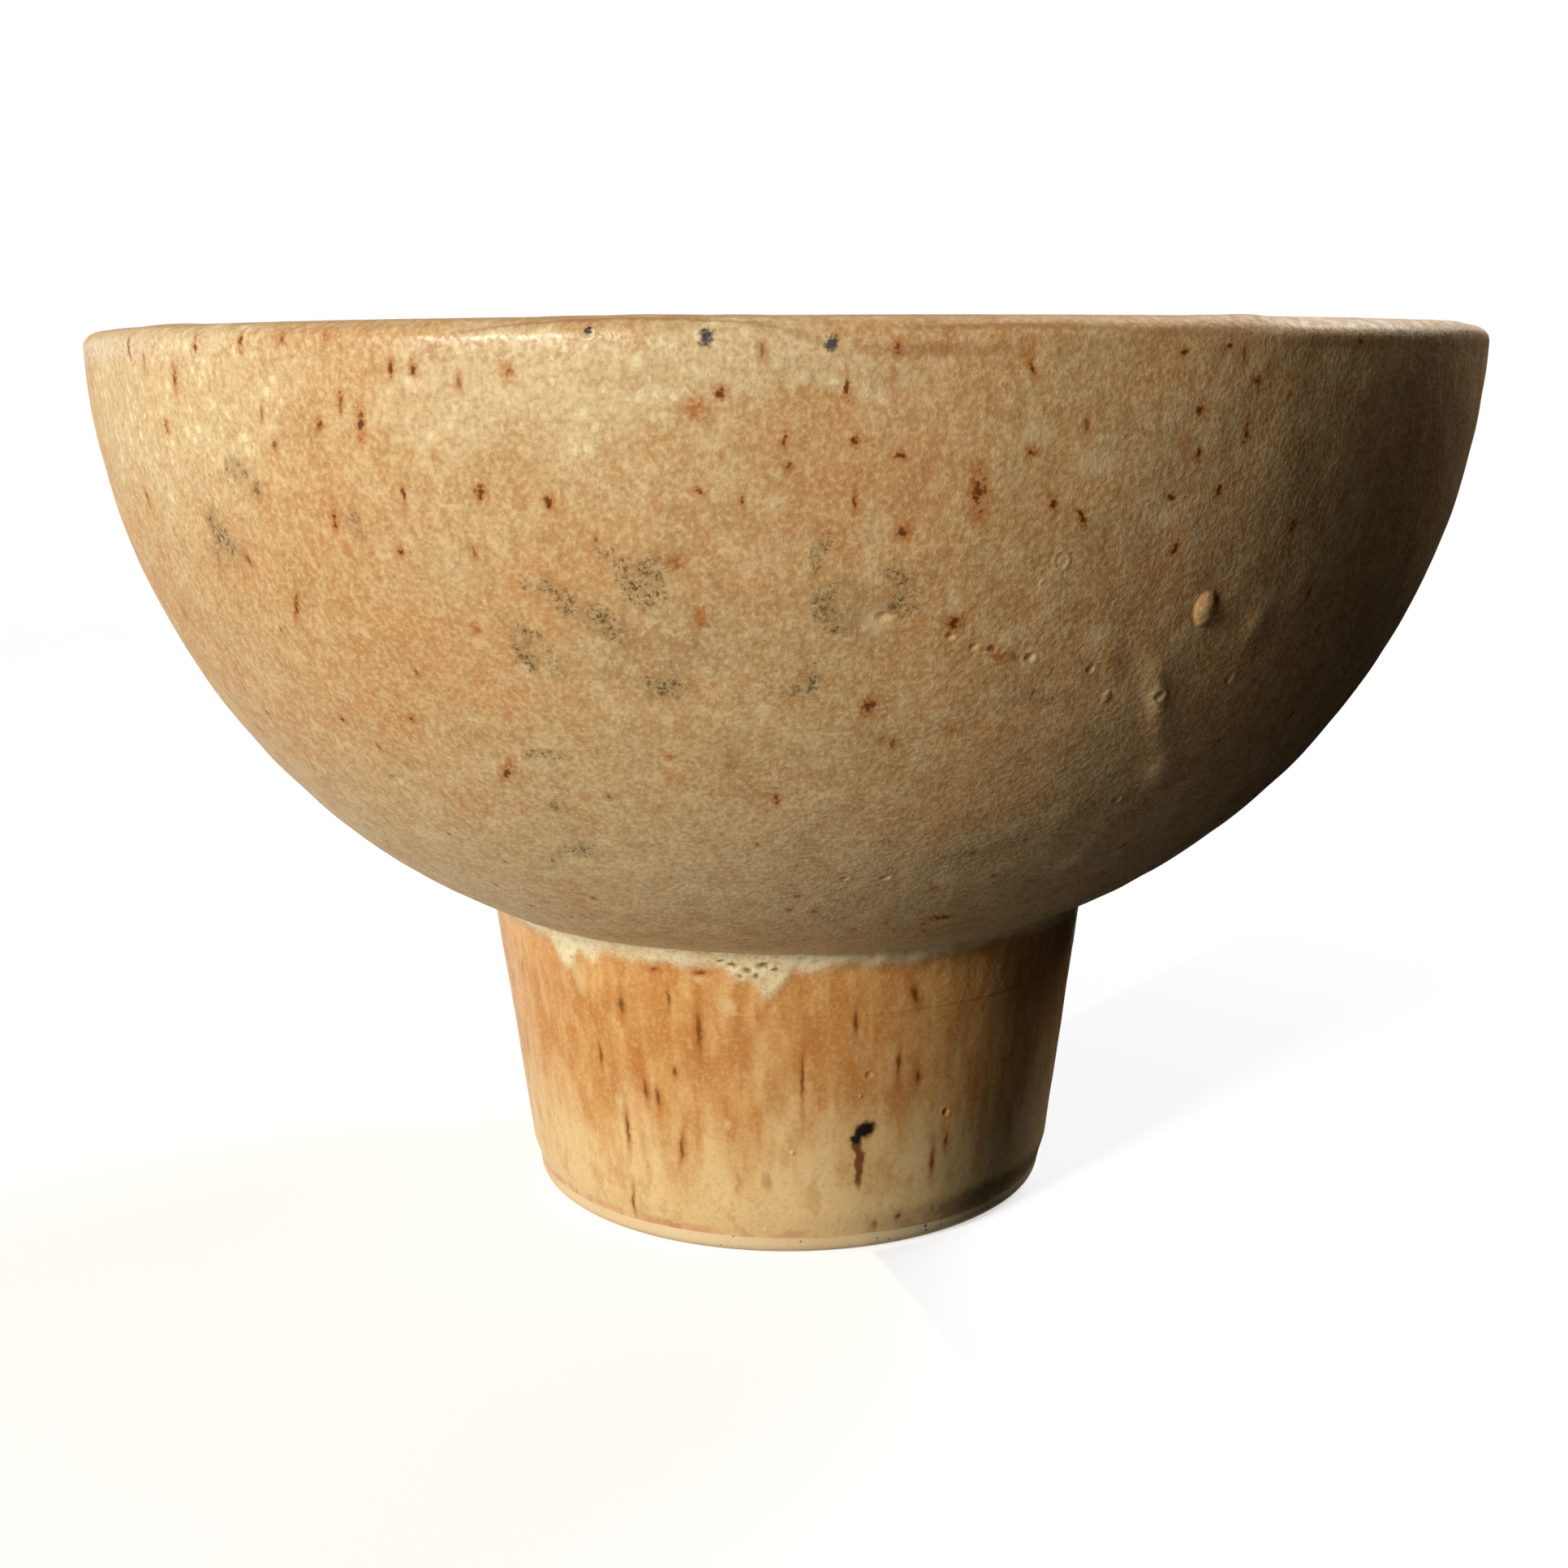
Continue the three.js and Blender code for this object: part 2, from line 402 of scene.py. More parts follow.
# The same for rust patches with no dark core, for blue-black spots and for pale blobs.
rust_marks = [
    (-5.4, 78.3, 1.5, 1.1, 60), (-7.1, 67.8, 1.2, 1.2), (-5.7, 64, 0.9, 1.6), (-9.1, 53, 0.9, 0.8),
    (-21.8, 62.5, 1.2, 0.8, 80), (14.8, 60.5, 1.3, 1),
]
black_marks = [(-4.7, 83.1, 1.2, 1.3), (2.6, 82.6, 1, 1.1), (-11.8, 83.5, 0.6, 0.6)]
pale_marks = [
    (-8.3, 74.4, 1.1, 1), (-1.7, 56.9, 1, 1.6), (-8.8, 56, 1.2, 1.1), (-21.8, 61.7, 1.4, 1.2),
    (-0.9, 72.2, 1.3, 1, 30), (5.8, 63.6, 2.6, 1.8), (19.5, 74.5, 4, 2.2), (15.5, 76.5, 2.4, 1.8),
    (25, 70.5, 2.6, 1.8, 20), (21.8, 62, 2.4, 2, 30),
]
# Brown bands under the lip, where the glaze ran thin over the turned edge.
rim_bands = [
    (14, 83.8, 18, 0.6), (8.5, 82.2, 11, 1), (-10, 84.2, 34, 0.4), (26, 83.4, 12, 0.8),
    (38, 82.8, 14, 1.4), (60, 83.6, 24, 0.8), (120, 83.5, 30, 0.8), (-130, 83.7, 34, 0.7),
]
# Smudges of soot, each much larger than the grains that it is made of.
soot_marks = [
    (-9.5, 67, 3.2, 4.5, 40), (-13.8, 64.4, 2.4, 6, 55), (-18, 61.5, 2.2, 5, 50),
    (0.9, 59.5, 2, 4.6, -50), (-8.2, 58.8, 3, 2), (1.6, 69, 1.6, 2.6), (2.7, 64.6, 2.6, 3.2),
    (7.1, 65.7, 2.6, 4, 30), (-20.1, 48.6, 1.4, 2), (-19, 52.7, 1.8, 1.4), (-21, 43.2, 1.2, 8, -52),
    (-40.2, 73.2, 4, 2.4), (-44.6, 67.9, 3, 3), (18, 57.5, 3, 1.2), (-29, 70, 1.6, 1.4),
]
# Broad clouds: peach where the glaze lies thin, a cream bloom on the left shoulder, grey smoke.
peach_clouds = [
    (-41, 66, 9, 14, 35), (-24, 60, 20, 13), (-17, 66, 12, 8, 20), (3, 75, 12, 9), (9, 62, 14, 10),
    (-33, 55, 9, 6, -20), (16, 55, 10, 7), (26, 66, 8, 12), (-12, 70, 9, 6), (17, 73, 12, 9),
    (24, 79, 12, 7), (14, 48, 16, 8),
]
cream_clouds = [(-48, 79, 40, 19), (-18, 79, 28, 9), (-4, 82, 28, 6)]
smoke_clouds = [(-43.5, 69, 3.6, 10, 35), (-8, 62, 16, 9, 10), (4, 64, 8, 7)]
# Pinholes, blisters with an iron spot on the large one, the rings of burst bubbles and soft lumps.
# In what is raised or sunk, the last number is the depth or rise in millimetres.
pinholes = [
    (6.3, 64, 1.3, 0.9, 0, 0.16), (10.9, 62.4, 0.8, 0.7, 0, 0.15), (12.6, 61.5, 0.7, 0.6, 0, 0.14),
    (14, 61.3, 0.8, 0.7, 0, 0.15), (16.9, 60.5, 0.9, 0.8, 0, 0.17), (21.9, 59.3, 0.7, 0.8, 0, 0.14),
    (28.7, 56.8, 1, 1, 0, 0.18), (29.9, 47.5, 0.9, 1, 0, 0.16), (9.5, 41.2, 0.9, 0.7, 0, 0.15),
    (-36.2, 48.9, 2.2, 1.2, 30, 0.12), (-6, 32.6, 1.4, 0.8, 0, 0.16), (-11.8, 83.3, 0.9, 0.7, 0, 0.12),
    (5.5, 41.3, 0.8, 0.6, 0, 0.12), (35.4, 57.5, 0.9, 0.9, 0, 0.14),
]
blisters = [(30.4, 63.4, 2.2, 3, 14, 0.42), (24, 57, 0.8, 1.2, 0, 0.1)]
blister_spot = [(31.0, 64.2, 0.6, 0.9, 20)]
bubble_rings = [(17.9, 67.7, 1.3, 1.6, 10, 0.05), (17, 66, 0.8, 0.8, 0, 0.04)]
soft_lumps = [
    (29.1, 56, 2.8, 11, 27, 0.32), (33, 50, 4, 6, 20, 0.22), (23, 60.5, 2.4, 5, 30, 0.14),
    (25, 46, 4, 7, 10, 0.16), (36, 62, 3, 5, -10, 0.18), (31, 41, 4, 4, 0, 0.18),
    (-36, 50, 4, 4, 0, 0.12),
]


def outward(line, thickness):
    """A line moved out by a thickness, square to itself."""
    moved = []
    for number, (out, up) in enumerate(line):
        before, after = line[max(number - 1, 0)], line[min(number + 1, len(line) - 1)]
        along = Vector((after[0] - before[0], after[1] - before[1])).normalized()
        moved.append((max(out + along.y * thickness, 0), up - along.x * thickness))
    return moved


def mark_seat(line, degrees, height, width, length, lean=0):
    """Where a mark sits on a turned surface, how it is turned to lie in it, and its half sizes."""
    for lower, upper in zip(line, line[1:]):
        if lower[1] <= height * mm <= upper[1]:
            break
    out = on_line(lower, upper, height * mm)[0]
    slope = math.atan2(upper[0] - lower[0], upper[1] - lower[1])
    angle = math.radians(degrees)
    spot = Vector((out * math.sin(angle), -out * math.cos(angle), height * mm))
    turn = Euler((math.radians(lean), slope, math.radians(degrees - 90)))
    least_depth = 1.5
    return spot, turn, Vector((max(width, least_depth), width / 2, length / 2)) * mm


def ragged(tree, place, reach, length):
    """Coordinates pushed about by noise, in which a round mark comes out ragged."""
    push = node(tree, "TexNoise", {"Vector": place, "Scale": 1 / length, "Detail": 2})
    middle = (0.5, 0.5, 0.5)
    evened = node(tree, "VectorMath", {0: push.outputs["Color"], 1: middle}, operation="SUBTRACT")
    scaled = node(tree, "VectorMath", {0: evened.outputs[0], "Scale": reach}, operation="SCALE")
    return node(tree, "VectorMath", {0: place, 1: scaled.outputs[0]}, operation="ADD").outputs[0]


def marks_mask(tree, place, marks, line):
    """How near each point is to the nearest mark: 0 at a mark's middle and 1 at its edge."""
    nearest = 100.0
    for mark in marks:
        spot, turn, half = mark_seat(line, *mark[:5])
        axes = [axis / size * mm for axis, size in zip(turn.to_matrix().col, half)]
        along = [node(tree, "VectorMath", {0: place, 1: axis}, operation="DOT_PRODUCT") for axis in axes]
        parts = {number: part.outputs["Value"] for number, part in enumerate(along)}
        within = node(tree, "CombineXYZ", parts)
        middle = [axis.dot(spot / mm) for axis in axes]
        away = node(tree, "VectorMath", {0: within.outputs[0], 1: middle}, operation="DISTANCE")
        nearest = maths(tree, "MINIMUM", nearest, away.outputs["Value"])
    return nearest


def close_verts(mesh, seats):
    """The free points round each mark, one list for each."""
    free = mesh.verts.layers.float["free"]
    mesh.verts.ensure_lookup_table()
    tree = kdtree.KDTree(len(mesh.verts))
    for number, vert in enumerate(mesh.verts):
        tree.insert(vert.co, number)
    tree.balance()
    reach = 2.2
    for spot, _, half in seats:
        found = tree.find_range(spot, reach * max(half.y, half.z))
        yield [mesh.verts[number] for _, number, _ in found if mesh.verts[number][free] > 0]


def refine(mesh, line, marks, cuts):
    """Cuts the skin finer round each mark, so that small relief has its shape."""
    chosen = set().union(*close_verts(mesh, [mark_seat(line, *mark[:5]) for mark in marks]))
    edges = {edge for vert in chosen for face in vert.link_faces for edge in face.edges}
    bmesh.ops.subdivide_edges(mesh, edges=list(edges), cuts=cuts, use_grid_fill=True)
    mesh.normal_update()


def sculpt(mesh, line, marks, shape):
    """Raises or sinks the free skin at each mark. A shape takes 0 for the middle and 1 for the edge."""
    seats = [mark_seat(line, *mark[:5]) for mark in marks]
    for (spot, turn, half), mark, verts in zip(seats, marks, close_verts(mesh, seats)):
        into = turn.to_matrix().transposed()
        for vert in verts:
            local = into @ (vert.co - spot)
            away = math.hypot(local.y / half.y, local.z / half.z)
            vert.co += vert.normal * shape(away) * mark[5] * mm


def pit(away):
    """A hole with a slightly swollen edge."""
    return 0.1 * math.exp(-((away - 1.25) / 0.3) ** 2) - max(1 - away ** 2, 0) ** 1.3


def dome(away):
    """A blister with a crisp edge."""
    return max(1 - away ** 2, 0) ** 0.75


def ring(away):
    """A raised ring."""
    return math.exp(-((away - 0.9) / 0.18) ** 2)


def swelling(away):
    """A soft lump that fades out."""
    return math.exp(-2 * away ** 2)


def hand_made(mesh, *waves):
    """Leaves a free skin gently uneven: each wave has a length and a height."""
    free = mesh.verts.layers.float["free"]
    mesh.normal_update()
    for vert in mesh.verts:
        if vert[free] > 0:
            rise = sum(height * noise.noise(vert.co / length) for length, height in waves)
            vert.co += vert.normal * rise * vert[free]


def effect(name, inputs, outputs):
    """A new node group, with its inputs' defaults, and the nodes at its two ends."""
    group = bpy.data.node_groups.new(name, "ShaderNodeTree")
    group.interface.new_socket("Place", in_out="INPUT", socket_type="NodeSocketVector")
    for label, value in inputs.items():
        made = group.interface.new_socket(label, in_out="INPUT", socket_type="NodeSocketFloat")
        made.default_value = value
    for label in outputs:
        group.interface.new_socket(label, in_out="OUTPUT", socket_type="NodeSocketFloat")
    return group, group.nodes.new("NodeGroupInput").outputs, group.nodes.new("NodeGroupOutput")


# Specks scattered at random: round blots about one spacing apart, of which only a share shows.
specks, given, result = effect("specks", {"Spacing": 1.5, "Size": 0.3, "Share": 0.5}, ("Speck", "Halo"))
fray = node(specks, "TexNoise", {"Vector": given["Place"], "Scale": 2.2, "Detail": 1})
fray = node(specks, "VectorMath", {0: fray.outputs["Color"], "Scale": 0.5}, operation="SCALE")
frayed = node(specks, "VectorMath", {0: given["Place"], 1: fray.outputs[0]}, operation="ADD")
cells = node(specks, "TexVoronoi", {
    "Vector": frayed.outputs[0], "Scale": maths(specks, "DIVIDE", 1.0, given["Spacing"]),
})
chance = node(specks, "SeparateColor", {"Color": cells.outputs["Color"]})
kept = maths(specks, "LESS_THAN", chance.outputs["Red"], given["Share"])
own_size = maths(specks, "MULTIPLY", given["Size"],
                 step_up(specks, chance.outputs["Green"], 0, 1, 0.5, 1.2))
core = step_up(specks, cells.outputs["Distance"], own_size, maths(specks, "MULTIPLY", own_size, 0.5))
halo = step_up(specks, cells.outputs["Distance"], maths(specks, "MULTIPLY", own_size, 2.2), own_size)
for name, disc in (("Speck", core), ("Halo", halo)):
    wire(specks, result, {name: maths(specks, "MULTIPLY", disc, kept)})

# The fine grain of a satin glaze: crystals under half a millimetre across, and a coarser peel.
grain, given, result = effect("glaze grain", {"Length": 0.42}, ("Grain", "Peel"))
crystals = node(grain, "TexNoise", {
    "Vector": given["Place"], "Scale": maths(grain, "DIVIDE", 1.0, given["Length"]), "Detail": 2,
    "Roughness": 0.6,
})
peel = node(grain, "TexNoise", {
    "Vector": given["Place"], "Scale": maths(grain, "DIVIDE", 0.4, given["Length"]), "Detail": 2,
})
wire(grain, result, {"Grain": crystals.outputs["Fac"], "Peel": peel.outputs["Fac"]})


def use(tree, group, place, **values):
    """Places an effect in a material with its own values."""
    made = tree.nodes.new("ShaderNodeGroup")
    made.node_tree = group
    wire(tree, made, {"Place": place, **values})
    return made.outputs


def flecked(tree, ground, scattered, stain, core, *where):
    """Lays specks over a ground: the stain round each, then its core, as a share and a colour."""
    for part, (share, tint) in (("Halo", stain), ("Speck", core)):
        ground = laid(tree, ground, tint, scattered[part], *where, share)
    return ground


def stretched(tree, place, stretch):
    """Coordinates in which a pattern comes out longer up and down the cup."""
    return node(tree, "Mapping", {"Vector": place, "Scale": (1, 1, 1 / stretch)}).outputs[0]


def satin_glaze(name):
    """The glaze of the bowl, without what belongs to one place."""
    material, tree, shader, place = new_material(name)
    height = part_of(tree, place, "Z")
    fine = use(tree, grain, place)
    patches = cloud(tree, place, 24, 4, 0.55)
    ground = over(tree, step_up(tree, patches, 0.42, 0.6), colour(215, 174, 119), colour(214, 164, 106))
    ground = laid(tree, ground, (222, 196, 149), step_up(tree, height, 60, 36), 0.8)
    blush = cloud(tree, place, 5.5, 4, 0.6, shift=25)
    mottle = cloud(tree, place, 3.2, 4, 0.6, shift=12)
    fibres = cloud(tree, stretched(tree, place, 2.0), 1.0, 3, 0.65, shift=21)
    ground = layered(
        tree, ground,
        (blush, 0.52, 0.68, 0.5, (208, 146, 92)),
        (mottle, 0.5, 0.68, 0.4, (240, 212, 162)),
        (mottle, 0.5, 0.32, 0.4, (192, 146, 96)),
        (fibres, 0.5, 0.66, 0.3, (242, 214, 164)),
        (fibres, 0.5, 0.34, 0.34, (186, 138, 88)),
    )
    return material, tree, shader, place, height, fine, ground


def salted(tree, fine, ground):
    """Light and dark crystals over a glaze's colour."""
    light = (fine["Grain"], 0.5, 0.66, 0.32, (254, 234, 186))
    dark = (fine["Grain"], 0.5, 0.34, 0.32, (160, 118, 72))
    return layered(tree, ground, light, dark)


def browned_lip(tree, ground, place, height, start, full):
    """Browns a glaze in patches where it ran thin over the lip."""
    patches = step_up(tree, cloud(tree, place, 3, 3, 0.6, shift=50), 0.38, 0.55, 0.2, 0.6)
    return laid(tree, ground, (176, 128, 78), step_up(tree, height, start, full), patches)


glazed_outside = joined(
    oval_line(rim_radius, bowl_depth, foot_top_radius + collar_reach, rim_radius, glaze_steps),
    lip_outside,
)
backing = glazed_outside[:-1:backing_spacing] + glazed_outside[-1:]
glaze_face = outward(glazed_outside, glaze_thickness)
glaze_mesh = turned(glaze_face + backing[::-1], glaze_turns, free=range(1, len(glaze_face) - 1))
hand_made(glaze_mesh, (16 * mm, 0.2 * mm), (5 * mm, 0.08 * mm), (2.2 * mm, 0.04 * mm))
refine(glaze_mesh, glaze_face, pinholes + blisters + bubble_rings, 4)
sculpt(glaze_mesh, glaze_face, soft_lumps, swelling)
sculpt(glaze_mesh, glaze_face, pinholes, pit)
sculpt(glaze_mesh, glaze_face, blisters, dome)
sculpt(glaze_mesh, glaze_face, bubble_rings, ring)

satin, tree, shader, place, height, fine, ground = satin_glaze("satin bowl glaze")
drifting = ragged(tree, place, 14, 9)
peach = marks_mask(tree, drifting, peach_clouds, glaze_face)
ground = layered(tree, ground, (peach, 1.15, 0.3, 0.58, (217, 160, 103)))
bloom = step_up(tree, marks_mask(tree, drifting, cream_clouds, glaze_face), 1.2, 0.6)
ground = laid(tree, ground, (232, 207, 161), bloom, 0.55)
smoky = ragged(tree, place, 6, 3.2)
smoke = marks_mask(tree, smoky, smoke_clouds, glaze_face)
ground = layered(tree, ground, (smoke, 1.3, 0.2, 0.35, (160, 132, 96)))
drops = use(tree, specks, place, Spacing=1.25, Size=0.34, Share=0.75)
mist = use(tree, specks, stretched(tree, place, 1.3), Spacing=0.75, Size=0.42, Share=0.55)
pools = step_up(tree, cloud(tree, place, 2.0, 2, 0.6, shift=33), 0.52, 0.7, 0, 0.4)
gathered = step_up(tree, cloud(tree, place, 5, 3, 0.6, shift=61), 0.36, 0.56, 0.35, 1)
dots = maths(tree, "MAXIMUM", drops["Speck"], maths(tree, "MULTIPLY", drops["Halo"], 0.35),
             maths(tree, "MULTIPLY", mist["Speck"], 0.8))
ground = laid(tree, salted(tree, fine, ground), (254, 236, 188), maths(tree, "MAXIMUM", dots, pools),
              gathered, step_up(tree, bloom, 0, 1, 0.28, 0.95))
ground = browned_lip(tree, ground, place, height, 84.15, 84.45)
torn = ragged(tree, place, 0.55, 0.55)
crumbs = step_up(tree, cloud(tree, place, 0.4, 2, 0.6, shift=71), 0.3, 0.7, -0.5, 0.5)
bands = marks_mask(tree, torn, rim_bands, glaze_face)
ground = layered(tree, ground, (bands, 1.4, 0.3, 0.55, (170, 114, 66)))
flecks = use(tree, specks, stretched(tree, place, 2.4), Spacing=2.3, Size=0.12, Share=0.5)
ground = flecked(tree, ground, flecks, (0.5, (196, 130, 74)), (0.75, (128, 78, 42)))
rust = maths(tree, "ADD", marks_mask(tree, torn, rust_marks, glaze_face), crumbs)
pale = marks_mask(tree, torn, pale_marks, glaze_face)
ground = layered(
    tree, ground, (rust, 1.6, 0.2, 0.8, (184, 104, 38)), (pale, 1.3, 0.4, 0.55, (240, 214, 166)),
)
far_side = step_up(tree, part_of(tree, place, "Y"), -22, -8)
blots = use(tree, specks, stretched(tree, torn, 1.8), Spacing=6.5, Size=0.085, Share=0.8)
ground = flecked(tree, ground, blots, (0.7, iron_stain), (0.9, iron_core), far_side)
iron = maths(tree, "ADD", marks_mask(tree, torn, iron_marks + blister_spot, glaze_face), crumbs)
ground = layered(tree, ground, (iron, 2.3, 0.6, 0.75, iron_stain), (iron, 0.95, 0.2, 0.92, iron_core))
soot = step_up(tree, marks_mask(tree, smoky, soot_marks, glaze_face), 1.7, 0.2)
ground = laid(tree, ground, (146, 124, 82), soot, 0.28)
grains = maths(tree, "ADD", cloud(tree, place, 0.34, 3, 0.75, shift=15),
               maths(tree, "MULTIPLY", soot, 0.08))
clumps = step_up(tree, cloud(tree, place, 1.6, 3, 0.6, shift=19), 0.34, 0.58)
ground = laid(tree, ground, (78, 62, 30), step_up(tree, grains, 0.52, 0.7, 0, 0.88),
              step_up(tree, soot, 0.0, 0.5), clumps)
black = maths(tree, "ADD", marks_mask(tree, torn, black_marks, glaze_face),
              maths(tree, "MULTIPLY", crumbs, 0.5))
ground = layered(
    tree, ground, (black, 1.2, 0.5, 1, (50, 40, 36)), (height, 32.2, 30.9, 0.7, (234, 208, 160)),
)
thin = maths(tree, "MULTIPLY", step_up(tree, height, 81.5, 82.8, 0, 0.2),
             step_up(tree, height, 84.2, 83.6))
roughness = maths(tree, "SUBTRACT", step_up(tree, fine["Peel"], 0.3, 0.7, 0.5, 0.66), thin)
sheen = maths(tree, "MULTIPLY", step_up(tree, height, 81.2, 82.2), step_up(tree, height, 83.7, 83.0),
              step_up(tree, fine["Grain"], 0.4, 0.62, 0.1, 0.9))
wire(tree, shader, {
    "Base Color": ground, "Roughness": roughness, "Specular IOR Level": 0.22, "Coat Weight": sheen,
    "Coat Roughness": 0.33,
})
relief = maths(tree, "ADD", fine["Grain"], maths(tree, "MULTIPLY", fine["Peel"], 0.5))
raised(tree, shader, relief, 0.07 * mm)
finished("bowl_outer_glaze_coat", glaze_mesh, satin, "bowl_outer_glaze")


# The liner: the same glaze poured inside the bowl, from the lip down to the floor, over the low
# spiral that the thrower's fingers left.
liner_thickness = 0.5 * mm
spiral_rise = 0.1 * mm
spiral_spacing = 5 * mm
spiral_reach = 52 * mm
liner_turns = 480
liner_steps = 96
glazed_inside = joined(lip_inside, oval_line(inner_radius, inner_depth, inner_radius, 0, liner_steps))
liner_face = outward(glazed_inside, liner_thickness)
liner_back = glazed_inside[:1] + glazed_inside[3:-1:backing_spacing] + glazed_inside[-1:]
liner_outline = liner_back[::-1] + liner_face
liner_mesh = turned(liner_outline, liner_turns, free=range(len(liner_back) + 1, len(liner_outline)))
hand_made(liner_mesh, (18 * mm, 0.16 * mm))
free = liner_mesh.verts.layers.float["free"]
for vert in liner_mesh.verts:
    out = math.hypot(vert.co.x, vert.co.y)
    turn = math.atan2(vert.co.y, vert.co.x) / (2 * math.pi)
    fade = max(1 - (out / spiral_reach) ** 2, 0) * min(out / spiral_spacing, 1)
    wave = math.cos(2 * math.pi * (out / spiral_spacing - turn))
    vert.co.z += vert[free] * spiral_rise * fade * wave
liner, tree, shader, place, height, fine, ground = satin_glaze("satin liner glaze")
cream = step_up(tree, cloud(tree, place, 0.95, 2, 0.55, shift=7), 0.58, 0.68)
ground = salted(tree, fine, laid(tree, ground, (246, 224, 172), cream, 0.5))
ground = laid(tree, ground, (196, 160, 108), step_up(tree, height, 46, 34), 0.55)
flecks = use(tree, specks, place, Spacing=3.4, Size=0.1, Share=0.5)
ground = flecked(tree, ground, flecks, (0.6, (190, 112, 56)), (0.75, (92, 54, 30)))
ground = browned_lip(tree, ground, place, height, 83.2, 84.1)
roughness = step_up(tree, fine["Peel"], 0.3, 0.7, 0.48, 0.64)
wire(tree, shader, {"Base Color": ground, "Roughness": roughness, "Specular IOR Level": 0.3})
relief = maths(tree, "ADD", maths(tree, "MULTIPLY", fine["Grain"], 0.4), fine["Peel"])
raised(tree, shader, relief, 0.05 * mm)
finished("bowl_liner_glaze_coat", liner_mesh, liner, "bowl_liner_glaze")


# The foot's glaze: the same dip, thinner here, so that the clay's iron turns it amber and it runs
# in brown streaks. It was wiped off just above the foot's edge.
foot_glaze_thickness = 0.4 * mm
glaze_stop = 1.8 * mm
collar_drop = 1.8 * mm
crease_height = under_bowl(foot_top_radius)[1]
wiped_edge = 0.03 * mm
swell_height = 2.6 * mm
foot_turns = 416
coat_steps = 60
coat_back_steps = 8
streak_stain = (190, 112, 44)
streak_core = (110, 58, 14)

# Brown streaks, broad rusty runs, the one large blue-black spot with the brown stalk under it, pale
# blots and dimples, in the terms of the bowl's marks.
streak_marks = [
    (-16.3, 22.6, 0.7, 4.5), (-33.2, 11.5, 0.45, 4), (-21.2, 10.5, 0.5, 3.2, -6), (2.4, 18.2, 0.4, 5),
    (11.9, 23.5, 0.5, 3), (-31.5, 24.2, 0.8, 2.2), (-21.7, 25.5, 0.4, 1.8), (22.9, 25.6, 0.9, 2.4, 20),
    (29.2, 8.5, 0.6, 3.4), (32.1, 10.3, 0.5, 1.6), (-33.6, 3.8, 0.35, 3, -8), (-24.2, 28.2, 1, 0.6),
    (-15.2, 28.3, 1.3, 0.6, 10), (-28, 16, 0.5, 2.4), (-25.5, 15.4, 0.5, 2), (-38, 18.5, 0.4, 2.6),
    (24.5, 17.4, 0.7, 1.6), (-21.5, 18.2, 0.5, 1), (20.5, 19, 0.5, 3), (22.5, 3.2, 0.6, 0.8),
]
rusty_runs = [
    (-9.9, 7.6, 0.9, 2.8), (-24.9, 1.9, 2, 0.8), (-29, 19, 2.4, 7), (-16.4, 19.5, 3.4, 7),
    (-9, 21, 3, 8), (-36, 16, 3, 7), (4, 20, 5, 10), (12, 18, 4, 9), (21, 16, 4, 9), (-44, 22, 2.5, 6),
    (-3, 16.5, 2.2, 6),
]
foot_black = [(14.2, 12.6, 2, 1.6, 40), (12.9, 11.9, 1.5, 1.1, 20)]
foot_stalk = [(13.4, 9.4, 0.8, 4.8), (12.9, 11.2, 0.9, 1.6, 10)]
foot_pale = [
    (-15.8, 27.6, 1.3, 1.2), (-10.5, 25.2, 1.4, 2.2, 30), (-11.7, 13.5, 1, 1.4), (-41, 26, 2, 4, 10),
    (-34, 14, 1.6, 2),
]
foot_dimples = [
    (14.8, 18.2, 0.8, 0.8, 0, 0.12), (31.5, 13.2, 0.8, 0.9, 0, 0.14), (-54.8, 17.1, 0.7, 0.7, 0, 0.12),
    (-43, 18.6, 0.6, 0.5, 0, 0.1),
]
# Small bubbles that stand up in the glaze and glint.
foot_blebs = [
    (-32.5, 22, 0.5, 0.5, 0, 0.16), (-37.8, 24.3, 0.4, 0.4, 0, 0.12), (-29.9, 26.2, 0.4, 0.4, 0, 0.12),
    (-22.9, 23.6, 0.35, 0.35, 0, 0.1), (-24.5, 24.4, 0.3, 0.3, 0, 0.1),
    (-60.1, 15.7, 0.5, 0.5, 0, 0.14), (-40, 17.1, 0.45, 0.45, 0, 0.14),
    (0.6, 10.8, 0.45, 0.45, 0, 0.14), (-34.2, 8.9, 0.4, 0.4, 0, 0.12),
    (-27.5, 2.9, 0.45, 0.45, 0, 0.12), (-11, 4.2, 0.35, 0.35, 0, 0.1), (-4.9, 2.7, 0.35, 0.35, 0, 0.1),
    (-46.7, 8.9, 0.35, 0.35, 0, 0.1), (-26, 12.4, 0.35, 0.35, 0, 0.1),
    (13.3, 16.2, 0.35, 0.35, 0, 0.1),
]


def smooth(value):
    """0 below 0, 1 above 1, and a soft step between."""
    value = min(max(value, 0), 1)
    return value * value * (3 - 2 * value)


stop_point = on_line(outer_edge[-1], foot_top[0], glaze_stop)
collar_foot = on_line(outer_edge[-1], foot_top[0], crease_height - collar_drop)
coat_high = (collar_foot[0] + foot_glaze_thickness, collar_foot[1])
coat_face = []
for out, up in straight(stop_point, collar_foot, coat_steps):
    swell = smooth((up - glaze_stop) / swell_height)
    coat_face.append((out + wiped_edge + (foot_glaze_thickness - wiped_edge) * swell, up))
coat_back = straight(collar_foot, stop_point, coat_back_steps)
coat_mesh = turned(coat_face + coat_back, foot_turns, free=range(coat_steps))
foot_waves = (9 * mm, 0.1 * mm), (3 * mm, 0.03 * mm)
hand_made(coat_mesh, *foot_waves)
refine(coat_mesh, coat_face, foot_dimples + foot_blebs, 3)
sculpt(coat_mesh, coat_face, foot_dimples, pit)
sculpt(coat_mesh, coat_face, foot_blebs, dome)


